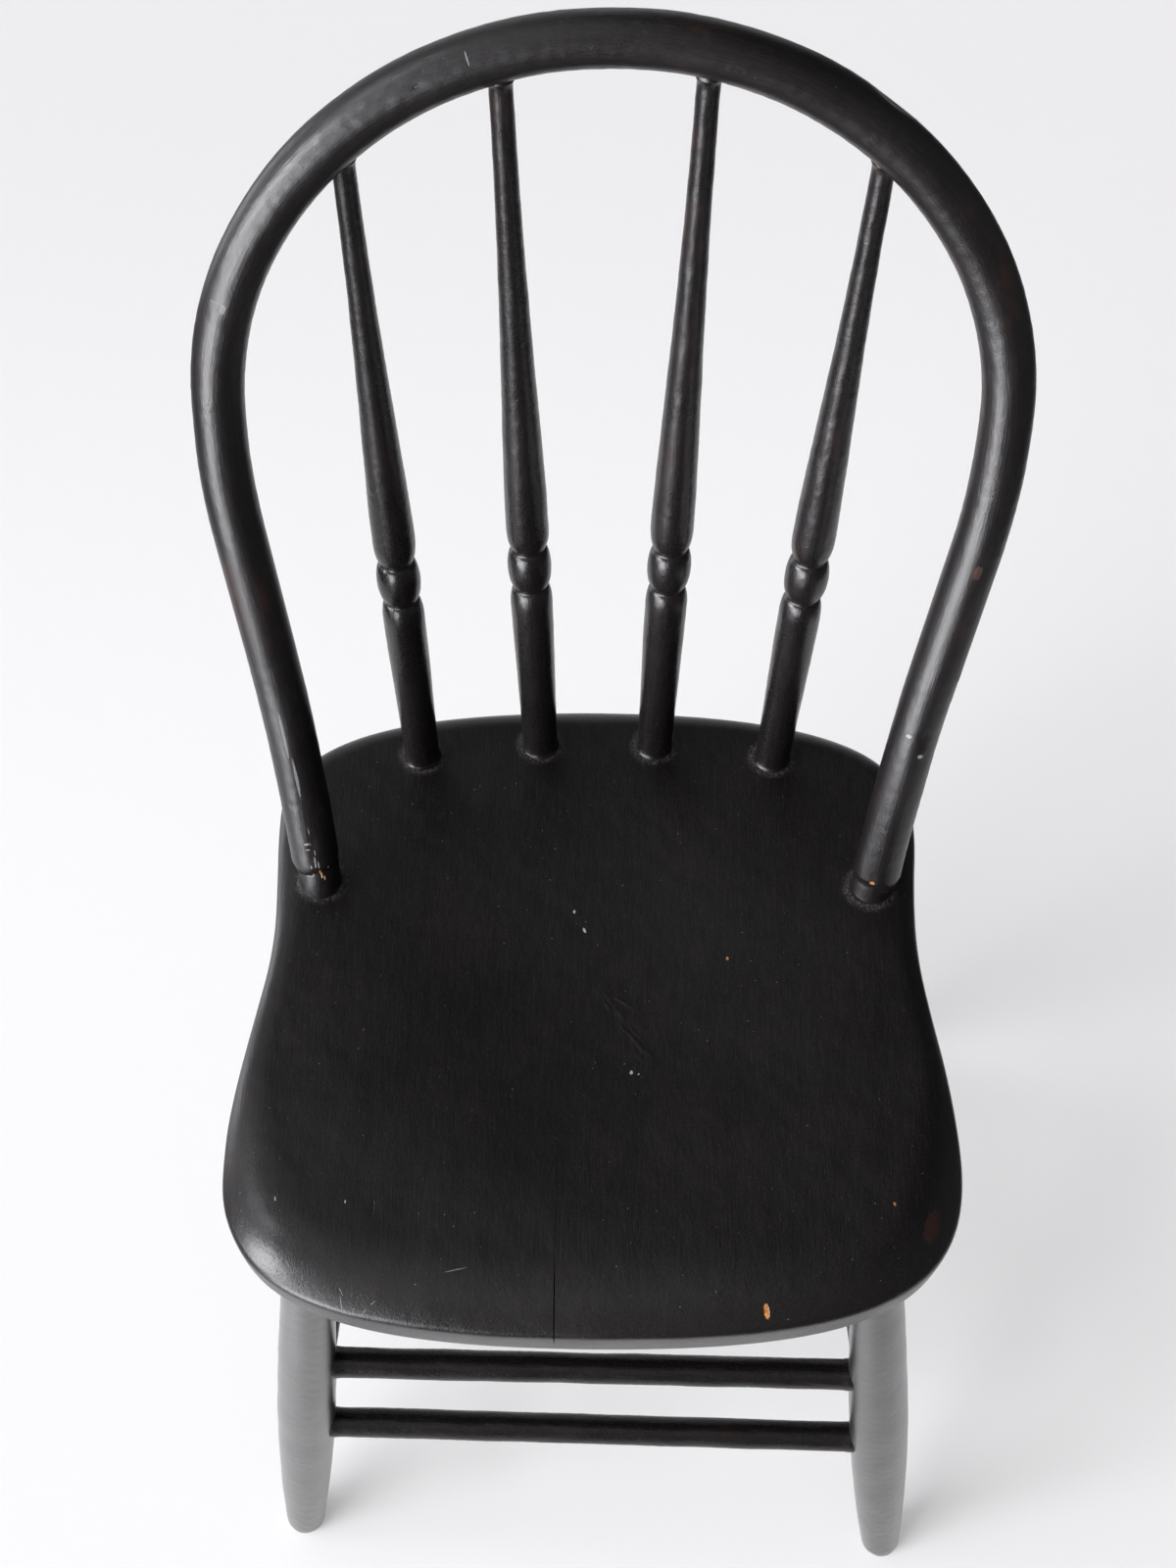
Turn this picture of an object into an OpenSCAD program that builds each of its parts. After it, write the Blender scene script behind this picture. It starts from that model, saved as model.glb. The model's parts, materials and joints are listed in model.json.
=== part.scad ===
// Bow-back side chair: a plank seat on four raked legs, tied by stretchers,
// with a steam-bent hoop and four turned spindles for its back.
// Millimetres, +Z up. The sitter faces -Y. The origin is on the floor, in the
// middle of the chair's bounding box.

/* [Seat] */
// Height of the seat's flat rear rim above the floor
seat_height = 432; // [380:1:520]
// Widest width of the seat, at its front corners
seat_width = 401; // [334:1:481]
// Width of the seat at its waist
seat_waist = 367; // [306:1:400]
// Width of the seat behind the waist
seat_back_width = 373; // [311:1:400]
// Depth of the seat, front edge to back edge
seat_depth = 396; // [330:1:475]
// Distance from the seat's front edge back to its widest place
widest_setback = 97; // [80:1:120]
// Distance from the seat's back edge forward to its waist
waist_setback = 151; // [130:1:180]
// Distance from the seat's back edge forward to where its back corners start
shoulder_setback = 78; // [60:1:95]
// Thickness of the two boards
seat_thickness = 43; // [36:1:50]
// Depth of the hollow worked into the middle of the seat
dish_depth = 8; // [2:0.5:9]
// Distance from the seat's front edge back to the middle of the hollow
dish_setback = 206; // [160:1:230]
// Distance from the middle of the hollow to its sides
dish_reach_x = 176; // [120:1:180]
// Distance from the middle of the hollow to its front and back
dish_reach_y = 158; // [110:1:160]
// How far the front edge rolls down
front_roll_drop = 18; // [8:0.5:20]
// How far in from the front edge the roll starts
front_roll_width = 44; // [20:1:55]
// How far the side and back edges are eased down
side_roll_drop = 7; // [3:0.5:12]
// How far in from the side and back edges the easing starts
side_roll_width = 17; // [8:1:24]
// How far the sides slope in below their top edge
side_undercut = 2.8; // [0:0.1:5]
// Chamfer round the underside
under_chamfer = 4; // [1:0.5:8]
// Place of the glue joint between the boards, left of the middle
seam_offset = 19; // [15:0.5:20]
// Opening of the old glue joint
seam_gap = 0.2; // [0.1:0.05:0.4]

/* [Bow] */
// Diameter of the bent hoop
bow_d = 27; // [24:0.5:31]
// Height of the hoop's top centre line above the seat, along its slope
bow_rise = 508; // [450:1:600]
// Distance from the seat's waist edge in to the middle of each bow foot
bow_inset = 23; // [20:0.5:30]
// Distance from the seat's back edge forward to the bow's feet
bow_setback = 126.5; // [112:0.5:135]
// Backward slope of the bow
bow_tilt = 16.4; // [8:0.1:20]
// Sideways lean the old bow has taken
bow_lean = 1.4; // [0:0.1:2]
// Radius of the bend below the round top
side_r = 490; // [400:10:600]
// Steepest splay of the bow's sides
side_splay = 9.4; // [7:0.1:11]
// Radius of the slight reverse bend above each foot
heel_r = 1800; // [1500:50:2100]
// Splay left at the bow's feet
heel_splay = 4.6; // [3:0.1:6]
// How much thinner than the bow the tenon under each foot is
tenon_step = 3.2; // [2:0.1:5]
// Height of the foot's shoulder above the seat
shoulder_rise = 13; // [6:0.5:18]
// How deep the bow's tenons go into the seat
bow_socket_depth = 25; // [18:0.5:27]

/* [Spindles] */
// Distance from the middle to each inner spindle, at the seat
inner_spindle_x = 34; // [32:0.5:42]
// Distance from the middle to each outer spindle, at the seat
outer_spindle_x = 104; // [90:0.5:110]
// Distance from the seat's back edge to the inner spindles
spindle_inset = 28.5; // [26:0.5:36]
// How much further forward the outer spindles stand
spindle_row_sag = 8.5; // [4:0.5:14]
// Angle round the hoop from its top to each outer spindle
outer_spindle_angle = 40.4; // [34:0.1:44]
// Angle round the hoop from its top to each inner spindle
inner_spindle_angle = 14.2; // [11:0.1:17]
// How far round to the left the inner spindles are set over
inner_spindle_skew = 2.8; // [0:0.1:3.4]
// How far round to the left both outer spindles' heads are off that centre
outer_spindle_skew = 1.5; // [0:0.1:2.5]
// Diameter at the seat
spindle_foot_d = 20.4; // [17:0.1:23]
// Largest diameter, next to the bead
spindle_swell_d = 23.4; // [20:0.1:26]
// Diameter of the bead
bead_d = 24.2; // [20:0.1:27]
// Diameter of the grooves above and below the bead
groove_d = 17.6; // [14:0.1:19]
// Diameter where the spindle enters the bow
spindle_tip_d = 11.4; // [9:0.1:13]
// Height of the bead's middle above the seat
bead_height = 152.5; // [120:0.5:178]
// How much higher the right outer spindle's bead sits than that, and the left one lower
outer_bead_skew = 2.5; // [0:0.5:5]
// Length of the bead
bead_length = 27.5; // [18:0.5:34]
// How deep a spindle's foot goes into the seat
spindle_socket_depth = 20; // [14:0.5:24]
// How far a spindle's tip passes the bow's centre line
spindle_tip_reach = 3; // [1:0.5:6]

/* [Legs] */
// Diameter of a leg at the floor
foot_d = 24; // [20:0.5:28]
// Largest diameter of a leg
belly_d = 36; // [32:0.5:40]
// Height of the largest diameter above the floor
belly_height = 175; // [140:1:210]
// Diameter of a leg where it enters the seat
leg_top_d = 26; // [22:0.5:30]
// How deep the legs go into the seat
leg_socket_depth = 21; // [16:0.5:23]
// Distance from the seat's widest edge in to a front leg's top
front_leg_inset = 45; // [36:0.5:56]
// Distance from the seat's front edge back to a front leg's top
front_leg_setback = 80; // [66:1:96]
// Sideways splay of the front legs
front_leg_splay = 5.1; // [3:0.1:7]
// Forward rake of the front legs
front_leg_rake = 6.2; // [4:0.1:8]
// How much more the right front leg rakes than that, and the left one less
front_rake_skew = 0.8; // [0:0.1:1.5]
// Distance from the seat's rear width in to a back leg's top
back_leg_inset = 57; // [50:0.5:64]
// Distance from the seat's back edge forward to a back leg's top
back_leg_setback = 64; // [58:0.5:76]
// Sideways splay of the back legs
back_leg_splay = 5.2; // [3:0.1:7]
// Backward rake of the back legs
back_leg_rake = 9.4; // [6:0.1:11]

/* [Stretchers] */
// Diameter of every stretcher
stretcher_d = 18.2; // [15:0.1:20]
// Height of the upper front stretcher
front_upper_height = 219; // [215:1:250]
// Height of the lower front stretcher
front_lower_height = 141; // [135:1:150]
// Height of the upper side stretchers
side_upper_height = 184; // [178:1:190]
// Height of the lower side stretchers
side_lower_height = 105; // [80:1:112]
// Height of the back stretcher
back_height = 144; // [135:1:150]
// How far a stretcher's end stops short of the leg's axis
stretcher_stop = 3; // [2:0.5:5]
// Radial room for glue in every socket
glue_gap = 0.1; // [0.05:0.01:0.2]

/* [Hidden] */
$fn = 48;
LEFT = -1;
RIGHT = 1;
black_paint = [0.055, 0.05, 0.052];
room = 700; // larger than any cut needs

bow_foot_y = seat_depth - bow_setback;

// Bow, worked out in its own plane: x across, z up the slope from the seat
heel_rise = shoulder_rise + heel_r * (sin(side_splay) - sin(heel_splay));
side_rise = heel_rise + side_r * sin(side_splay);
heel_run = heel_r * (cos(heel_splay) - cos(side_splay));
side_run = side_r * (1 - cos(side_splay));
bow_foot_x = seat_waist / 2 - bow_inset;
hoop_r = (bow_foot_x + heel_run + side_run + (bow_rise - side_rise) * tan(side_splay))
    / (1 + tan(side_splay));
hoop_rise = bow_rise - hoop_r;
bow_tenon_d = bow_d - tenon_step;
tenon_set_in = 0.6; // from the bow's inner side to the tenon's
tenon_shift = (bow_d - bow_tenon_d) / 2 - tenon_set_in;
tenon_overlap = 6; // of the tenon up inside the bow

// Bounding box in plan, which sets the origin
bow_top_y = bow_foot_y + bow_rise * cos(bow_lean) * sin(bow_tilt) + bow_d / 2;
origin_y = bow_top_y / 2;
origin_x = hoop_rise * sin(bow_lean);

function mix(a, b, t) = a + (b - a) * t;
function smooth(t) = let (u = min(1, max(0, t))) u * u * (3 - 2 * u);

// Directions and frames ------------------------------------------------------

// Turn of a round piece about its axis, which keeps its start line clear of its
// sockets and of the plane that it leans in
start_turn = 160;

// Puts children on the line from a to b, with +Z running towards b
module along(a, b) {
    d = b - a;
    translate(a)
        rotate([0, acos(d.z / norm(d)), atan2(d.y, d.x)])
            rotate([0, 0, start_turn])
                children();
}

// Moves the drawing, which starts at the seat's front edge, onto the origin
module placed() {
    translate([-origin_x, -origin_y, 0])
        children();
}

// Takes a point of the bow's plane to its place on the chair
function on_bow(u, h) =
    let (x = u * cos(bow_lean) + h * sin(bow_lean))
    let (s = h * cos(bow_lean) - u * sin(bow_lean))
    [x, bow_foot_y + s * sin(bow_tilt), seat_height + s * cos(bow_tilt)];

module bow_plane() {
    translate([0, bow_foot_y, seat_height])
        rotate([-bow_tilt, 0, 0])
            rotate([0, bow_lean, 0])
                children();
}

// Seat -----------------------------------------------------------------------

waist_y = seat_depth - waist_setback;
shoulder_y = seat_depth - shoulder_setback;
dish_middle = [0, dish_setback];
seat_under = seat_height - seat_thickness;

// Fullness of the outline's curves, as shares of the straight runs beside them
front_fullness = 0.75;
front_corner_fullness = 0.72;
back_corner_fullness = 0.67;
back_fullness = 0.69;

function bezier(a, b, c, d, t) =
    pow(1 - t, 3) * a + 3 * t * pow(1 - t, 2) * b + 3 * t * t * (1 - t) * c + pow(t, 3) * d;

// One smooth run of the outline; the steps leave out its last point
function run(a, b, c, d, steps) = [for (i = [0:steps - 1]) bezier(a, b, c, d, i / steps)];

front_mid = [0, 0];
corner = [seat_width / 2, widest_setback];
waist = [seat_waist / 2, waist_y];
shoulder = [seat_back_width / 2, shoulder_y];
back_mid = [0, seat_depth];
waist_pull = [0, (waist_y - widest_setback) / 3];
shoulder_pull = [0, (shoulder_y - waist_y) / 3];

right_edge = concat(
    run(front_mid, [front_fullness * corner.x, 0],
        corner - [0, front_corner_fullness * widest_setback], corner, 16),
    run(corner, corner + waist_pull, waist - waist_pull, waist, 7),
    run(waist, waist + shoulder_pull, shoulder - shoulder_pull, shoulder, 4),
    run(shoulder, shoulder + [0, back_corner_fullness * shoulder_setback],
        back_mid + [back_fullness * shoulder.x, 0], back_mid, 14));

// The whole outline, anticlockwise from the front: the left half mirrors the right
outline = concat(
    right_edge,
    [back_mid],
    [for (i = [len(right_edge) - 1:-1:1]) [-right_edge[i].x, right_edge[i].y]]);
outline_count = len(outline);

function outward(i) =
    let (before = outline[(i + outline_count - 1) % outline_count])
    let (after = outline[(i + 1) % outline_count])
    let (d = after - before)
    [d.y, -d.x] / norm(d);

// The front roll keeps its full size this far back, then fades into the side's
front_roll_end = 50;
roll_fade_length = 130;

// Over 2 keeps the roll flat further out and steeper at the arris
roll_power = 3;

function front_share(p) = 1 - smooth((p.y - front_roll_end) / roll_fade_length);
function roll_width(p) = mix(side_roll_width, front_roll_width, front_share(p));
function roll_drop(p) = mix(side_roll_drop, front_roll_drop, front_share(p));

function dish(p) =
    let (off = p - dish_middle)
    let (r = min(1, norm([off.x / dish_reach_x, off.y / dish_reach_y])))
    dish_depth * pow(cos(90 * r), 2);

// Point of the top, a share of the roll in from the outline
function rolled(i, share) =
    let (p = outline[i] - outward(i) * roll_width(outline[i]) * share)
    [p.x, p.y, seat_height - roll_drop(outline[i]) * pow(1 - share, roll_power) - dish(p)];

// Point of the top inside the roll, a share of the way to the middle
function hollowed(i, share) =
    let (edge = outline[i] - outward(i) * roll_width(outline[i]))
    let (p = mix(edge, dish_middle, share))
    [p.x, p.y, seat_height - dish(p)];

function under(i) =
    let (p = outline[i] - outward(i) * (side_undercut + under_chamfer))
    [p.x, p.y, seat_under];

function side(i) =
    let (p = outline[i] - outward(i) * side_undercut)
    [p.x, p.y, seat_under + under_chamfer];

roll_shares = [0, 0.12, 0.27, 0.5, 1];
hollow_shares = [0.14, 0.28, 0.42, 0.56, 0.7, 0.85];
seat_rings = concat(
    [for (k = [0:1]) [for (i = [0:outline_count - 1]) k == 0 ? under(i) : side(i)]],
    [for (s = roll_shares) [for (i = [0:outline_count - 1]) rolled(i, s)]],
    [for (s = hollow_shares) [for (i = [0:outline_count - 1]) hollowed(i, s)]]);
ring_count = len(seat_rings);

function ring_point(k, i) = k * outline_count + i % outline_count;

// Both boards as one blank, before the glue joint and the sockets are cut
module seat_blank() {
    flat_points = [for (ring = seat_rings) each ring];
    under_middle = len(flat_points);
    top_middle = under_middle + 1;
    points = concat(flat_points, [
        [dish_middle.x, dish_middle.y, seat_under],
        [dish_middle.x, dish_middle.y, seat_height - dish(dish_middle)]]);
    skin = [for (k = [0:ring_count - 2], i = [0:outline_count - 1]) each [
        [ring_point(k, i), ring_point(k + 1, i), ring_point(k + 1, i + 1)],
        [ring_point(k, i), ring_point(k + 1, i + 1), ring_point(k, i + 1)]]];
    below = [for (i = [0:outline_count - 1])
        [under_middle, ring_point(0, i), ring_point(0, i + 1)]];
    above = [for (i = [0:outline_count - 1])
        [top_middle, ring_point(ring_count - 1, i + 1), ring_point(ring_count - 1, i)]];
    polyhedron(points, concat(skin, below, above));
}

module seat_board(hand) {
    color(black_paint)
        placed()
            difference() {
                intersection() {
                    seat_blank();
                    translate([-seam_offset + hand * (room / 2 + seam_gap / 2), 0, seat_height])
                        cube([room, 2 * room, 4 * seat_thickness], center = true);
                }
                leg_bore(front_leg_top(hand), front_leg_foot(hand));
                leg_bore(back_leg_top(hand), back_leg_foot(hand));
                bow_plane()
                    bow_tenon(hand, glue_gap);
                for (x = [inner_spindle_x, outer_spindle_x])
                    along(spindle_seat(hand * x), spindle_head(hand, x))
                        translate([0, 0, -spindle_socket_depth])
                            cylinder(d = spindle_foot_d + 2 * glue_gap,
                                h = spindle_socket_depth + seat_thickness / 2);
            }
}

// Bow ------------------------------------------------------------------------

bow_heel = [bow_foot_x, shoulder_rise];
side_low = [bow_foot_x + heel_run, heel_rise];
heel_centre = side_low + heel_r * [cos(side_splay), -sin(side_splay)];

// Points of an arc in the bow's plane, each as [x, height, direction of its radius]
function arc(centre, radius, from, to, steps) =
    [for (i = [0:steps]) let (a = mix(from, to, i / steps))
        [centre.x + radius * cos(a), centre.y + radius * sin(a), a]];

bow_sides = 20;
side_steps = 4;
hoop_steps = 18;

// Right half of the centre line, foot to top; the heel bends the other way
hoop_arc = arc([0, hoop_rise], hoop_r, 0, 90, hoop_steps);
right_side = concat(
    [for (p = arc(heel_centre, heel_r, 180 - heel_splay, 180 - side_splay, side_steps))
        [p.x, p.y, p.z - 180]],
    arc([hoop_r - side_r, hoop_rise], side_r, -side_splay, 0, side_steps),
    [for (i = [1:hoop_steps - 1]) hoop_arc[i]]);
bow_line = concat(
    right_side,
    [hoop_arc[hoop_steps]],
    [for (i = [len(right_side) - 1:-1:0])
        [-right_side[i].x, right_side[i].y, 180 - right_side[i].z]]);

// The bent rod, as rings square to its centre line
module bow_rod() {
    rings = [for (p = bow_line, j = [0:bow_sides - 1])
        let (across = bow_d / 2 * cos(360 * j / bow_sides))
        let (forward = bow_d / 2 * sin(360 * j / bow_sides))
        [p.x + across * cos(p.z), forward, p.y + across * sin(p.z)]];
    last = len(bow_line) - 1;
    skin = [for (k = [0:last - 1], j = [0:bow_sides - 1])
        let (here = k * bow_sides, next = here + bow_sides, after = (j + 1) % bow_sides)
        each [[here + j, next + j, next + after], [here + j, next + after, here + after]]];
    ends = [
        [for (j = [0:bow_sides - 1]) j],
        [for (j = [bow_sides - 1:-1:0]) last * bow_sides + j]];
    polyhedron(rings, concat(skin, ends));
}

// Tenon below the shoulder, close to the inner side of the bow
module bow_tenon(hand, gap) {
    length = tenon_overlap + shoulder_rise / cos(heel_splay) + bow_socket_depth;
    mirror([hand == LEFT ? 1 : 0, 0, 0])
        translate([bow_heel.x, 0, bow_heel.y])
            rotate([0, heel_splay, 0])
                translate([-tenon_shift, 0, tenon_overlap - length])
                    cylinder(d = bow_tenon_d + 2 * gap, h = length);
}

module bow() {
    color(black_paint)
        placed()
            difference() {
                bow_plane()
                    union() {
                        bow_rod();
                        for (hand = [LEFT, RIGHT])
                            bow_tenon(hand, 0);
                    }
                for (hand = [LEFT, RIGHT], x = [inner_spindle_x, outer_spindle_x])
                    along(spindle_seat(hand * x), spindle_head(hand, x))
                        translate([0, 0, spindle_length(hand, x) - bow_d])
                            cylinder(d = spindle_tip_d + 2 * glue_gap, h = bow_d + spindle_tip_reach);
            }
}

// Spindles -------------------------------------------------------------------

// Foot of a spindle's axis on the seat's rear rim
function spindle_seat(x) =
    let (sag = abs(x) == outer_spindle_x ? spindle_row_sag : 0)
    [x, seat_depth - spindle_inset - sag, seat_height];

// Where a spindle's axis meets the bow's centre line
function spindle_head(hand, x) =
    let (turn = x == inner_spindle_x
        ? hand * inner_spindle_angle - inner_spindle_skew
        : hand * outer_spindle_angle - outer_spindle_skew)
    on_bow(hoop_r * sin(turn), hoop_rise + hoop_r * cos(turn));

function spindle_length(hand, x) = norm(spindle_head(hand, x) - spindle_seat(hand * x));

groove_width = 2; // of the flat bottom of each groove beside the bead
low_roll = 13; // height of the round shoulder below the bead
high_roll = 14; // height of the round shoulder above it
taper_steps = 20;
taper_power = 0.74; // under 1 makes the upper taper fall away early
tip_straight = bow_d / 2 - 3; // of the tip, from inside the bow to the centre line

// Height of the middle of a spindle's bead along its axis
function bead_middle(hand, x) = bead_height + (x == outer_spindle_x ? hand * outer_bead_skew : 0);

// Half section of a spindle whose axis is length long between seat and bow
function spindle_section(length, bead_middle) =
    let (foot = spindle_foot_d / 2, swell = spindle_swell_d / 2, tip = spindle_tip_d / 2)
    let (bead = bead_d / 2, groove = groove_d / 2, half_bead = bead_length / 2)
    let (low_groove = bead_middle - half_bead - groove_width)
    let (high_groove = bead_middle + half_bead + groove_width)
    let (low_swell = low_groove - low_roll, high_swell = high_groove + high_roll)
    concat(
        [[0, -spindle_socket_depth], [foot, -spindle_socket_depth], [foot, 0]],
        [for (t = [0.5, 1]) [mix(foot, swell, smooth(t)), t * low_swell]],
        [for (a = [15:15:90]) [mix(groove, swell, cos(a)), mix(low_swell, low_groove, sin(a))]],
        [for (a = [-90:15:90]) [mix(groove, bead, cos(a)), bead_middle + half_bead * sin(a)]],
        [for (a = [0:15:90]) [mix(groove, swell, sin(a)), mix(high_groove, high_swell, 1 - cos(a))]],
        [for (i = [1:taper_steps]) let (t = i / taper_steps)
            [mix(tip, swell, (1 + cos(180 * pow(t, taper_power))) / 2),
                mix(high_swell, length - tip_straight, t)]],
        [[tip, length + spindle_tip_reach], [0, length + spindle_tip_reach]]);

module spindle(hand, x) {
    color(black_paint)
        placed()
            along(spindle_seat(hand * x), spindle_head(hand, x))
                rotate_extrude()
                    polygon(spindle_section(spindle_length(hand, x), bead_middle(hand, x)));
}

// Legs -----------------------------------------------------------------------

function front_leg_top(hand) =
    [hand * (seat_width / 2 - front_leg_inset), front_leg_setback, seat_under];
function front_leg_foot(hand) = front_leg_top(hand)
    + seat_under * [hand * tan(front_leg_splay), -tan(front_leg_rake + hand * front_rake_skew), -1];
function back_leg_top(hand) =
    [hand * (seat_back_width / 2 - back_leg_inset), seat_depth - back_leg_setback, seat_under];
function back_leg_foot(hand) = back_leg_top(hand)
    + seat_under * [hand * tan(back_leg_splay), tan(back_leg_rake), -1];

// Point of a leg's axis at a height above the floor
function leg_at(foot, top, height) = mix(foot, top, height / top.z);

// Radius of a leg at a share of the way down from, or up from, its belly
function leg_radius(end_d, share, power) = (belly_d - (belly_d - end_d) * pow(share, power)) / 2;

foot_taper_power = 2;
top_taper_power = 1.4;
leg_steps = 9; // in each half of the leg's outline

function leg_section(length, below) =
    concat(
        [[0, -below], [foot_d / 2, -below]],
        [for (i = [0:leg_steps]) [leg_radius(foot_d, 1 - i / leg_steps, foot_taper_power),
            belly_height * i / leg_steps]],
        [for (i = [1:leg_steps]) [leg_radius(leg_top_d, i / leg_steps, top_taper_power),
            mix(belly_height, length, i / leg_steps)]],
        [[leg_top_d / 2, length + leg_socket_depth], [0, length + leg_socket_depth]]);

module leg_bore(top, foot) {
    along(foot, top)
        cylinder(d = leg_top_d + 2 * glue_gap, h = norm(top - foot) + leg_socket_depth);
}

// A leg, cut level at the floor, with a socket for each stretcher in lines
module leg(top, foot, lines) {
    color(black_paint)
        placed()
            difference() {
                along(foot, top)
                    rotate_extrude()
                        polygon(leg_section(norm(top - foot), foot_d / 2));
                translate([foot.x, foot.y, -foot_d])
                    cube([4 * foot_d, 4 * foot_d, 2 * foot_d], center = true);
                for (line = lines)
                    stretcher_rod(line[0], line[1], glue_gap);
            }
}

// Stretchers -----------------------------------------------------------------

function front_line(height) = [
    leg_at(front_leg_foot(LEFT), front_leg_top(LEFT), height),
    leg_at(front_leg_foot(RIGHT), front_leg_top(RIGHT), height)];
function back_line(height) = [
    leg_at(back_leg_foot(LEFT), back_leg_top(LEFT), height),
    leg_at(back_leg_foot(RIGHT), back_leg_top(RIGHT), height)];
function side_line(hand, height) = [
    leg_at(front_leg_foot(hand), front_leg_top(hand), height),
    leg_at(back_leg_foot(hand), back_leg_top(hand), height)];

// The rod between two leg axes, which stops short of both
module stretcher_rod(a, b, gap) {
    along(a, b)
        translate([0, 0, stretcher_stop])
            cylinder(d = stretcher_d + 2 * gap, h = norm(b - a) - 2 * stretcher_stop);
}

module stretcher(line) {
    color(black_paint)
        placed()
            stretcher_rod(line[0], line[1], 0);
}

module front_leg(hand) {
    leg(front_leg_top(hand), front_leg_foot(hand),
        [front_line(front_upper_height), front_line(front_lower_height),
            side_line(hand, side_upper_height), side_line(hand, side_lower_height)]);
}

module back_leg(hand) {
    leg(back_leg_top(hand), back_leg_foot(hand),
        [back_line(back_height),
            side_line(hand, side_upper_height), side_line(hand, side_lower_height)]);
}

seat_board(LEFT);  // seat_board_left
seat_board(RIGHT);  // seat_board_right
bow();
spindle(LEFT, outer_spindle_x);  // spindle_outer_left
spindle(LEFT, inner_spindle_x);  // spindle_inner_left
spindle(RIGHT, inner_spindle_x);  // spindle_inner_right
spindle(RIGHT, outer_spindle_x);  // spindle_outer_right
front_leg(LEFT);  // leg_front_left
front_leg(RIGHT);  // leg_front_right
back_leg(LEFT);  // leg_back_left
back_leg(RIGHT);  // leg_back_right
stretcher(front_line(front_upper_height));  // stretcher_front_upper
stretcher(front_line(front_lower_height));  // stretcher_front_lower
stretcher(side_line(LEFT, side_upper_height));  // stretcher_left_upper
stretcher(side_line(LEFT, side_lower_height));  // stretcher_left_lower
stretcher(side_line(RIGHT, side_upper_height));  // stretcher_right_upper
stretcher(side_line(RIGHT, side_lower_height));  // stretcher_right_lower
stretcher(back_line(back_height));  // stretcher_back
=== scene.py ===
import json
import math

import bmesh
import bpy
import numpy as np
from mathutils import Matrix, Vector


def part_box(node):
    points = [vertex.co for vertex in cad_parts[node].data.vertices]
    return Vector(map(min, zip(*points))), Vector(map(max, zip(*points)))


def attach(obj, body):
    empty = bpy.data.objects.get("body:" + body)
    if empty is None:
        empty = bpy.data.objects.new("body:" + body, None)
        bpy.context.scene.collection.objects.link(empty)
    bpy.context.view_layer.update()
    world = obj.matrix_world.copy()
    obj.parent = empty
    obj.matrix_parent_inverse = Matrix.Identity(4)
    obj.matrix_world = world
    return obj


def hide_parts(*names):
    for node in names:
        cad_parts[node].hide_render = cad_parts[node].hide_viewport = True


# A bow-back spindle chair in old black paint. Everything is in metres, +Z is up,
# the sitter faces -Y and the frame's origin is on the floor under the chair.
# Each piece is a mesh of its own that stands for the CAD node of the same shape.
# Its "bench" attribute holds where each point would lie if the piece were laid
# straight on a bench: two coordinates across the piece and the third along it.

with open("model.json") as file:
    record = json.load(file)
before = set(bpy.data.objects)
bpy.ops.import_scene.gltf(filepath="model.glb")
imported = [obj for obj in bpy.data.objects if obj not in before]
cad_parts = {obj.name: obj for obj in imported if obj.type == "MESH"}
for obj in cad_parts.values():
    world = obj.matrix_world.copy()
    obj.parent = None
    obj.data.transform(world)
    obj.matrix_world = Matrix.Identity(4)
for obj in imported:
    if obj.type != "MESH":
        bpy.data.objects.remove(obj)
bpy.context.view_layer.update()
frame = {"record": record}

MM = 0.001
LEFT = -1
RIGHT = 1
SIDES = {LEFT: "left", RIGHT: "right"}


# Measures ----------------------------------------------------------------------

left_low, left_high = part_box("seat_board_left")
right_low, right_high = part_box("seat_board_right")
seat_front = min(left_low.y, right_low.y)
seat_back = max(left_high.y, right_high.y)
seat_middle = (left_low.x + right_high.x) / 2
seat_top = right_high.z
seat_under = left_low.z
seat_width = right_high.x - left_low.x
seat_depth = seat_back - seat_front
seam_x = (left_high.x + right_low.x) / 2

SEAT_WAIST = 367 * MM
SEAT_BACK_WIDTH = 373 * MM
WIDEST_SETBACK = 97 * MM
WAIST_SETBACK = 151 * MM
SHOULDER_SETBACK = 78 * MM
DISH_DEPTH = 8 * MM
DISH_SETBACK = 206 * MM
DISH_REACH = np.array([176 * MM, 158 * MM])
FRONT_ROLL = (18 * MM, 44 * MM)
SIDE_ROLL = (7 * MM, 17 * MM)
ROLL_FADE = (50 * MM, 180 * MM)
SIDE_UNDERCUT = 2.8 * MM
UNDER_CHAMFER = 4 * MM
ARRIS_RADIUS = 6 * MM
ARRIS_TURN = math.radians(40)
ROLL_POWER = 3
SEAT_WAVE = (0.22 * MM, 70 * MM)
SEAT_BRUSHING = (0.05 * MM, 16 * MM)
SIDE_WAVE = (0.12 * MM, 40 * MM)
FOOT_FILLET = (0.9 * MM, 1.6 * MM)

BOW_D = 27 * MM
BOW_RISE = 508 * MM
BOW_INSET = 23 * MM
BOW_SETBACK = 126.5 * MM
BOW_TILT = math.radians(16.4)
BOW_LEAN = math.radians(1.4)
SIDE_R = 490 * MM
SIDE_SPLAY = math.radians(9.4)
HEEL_R = 1800 * MM
HEEL_SPLAY = math.radians(4.6)
TENON_D = 23.8 * MM
SHOULDER_RISE = 13 * MM

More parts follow.
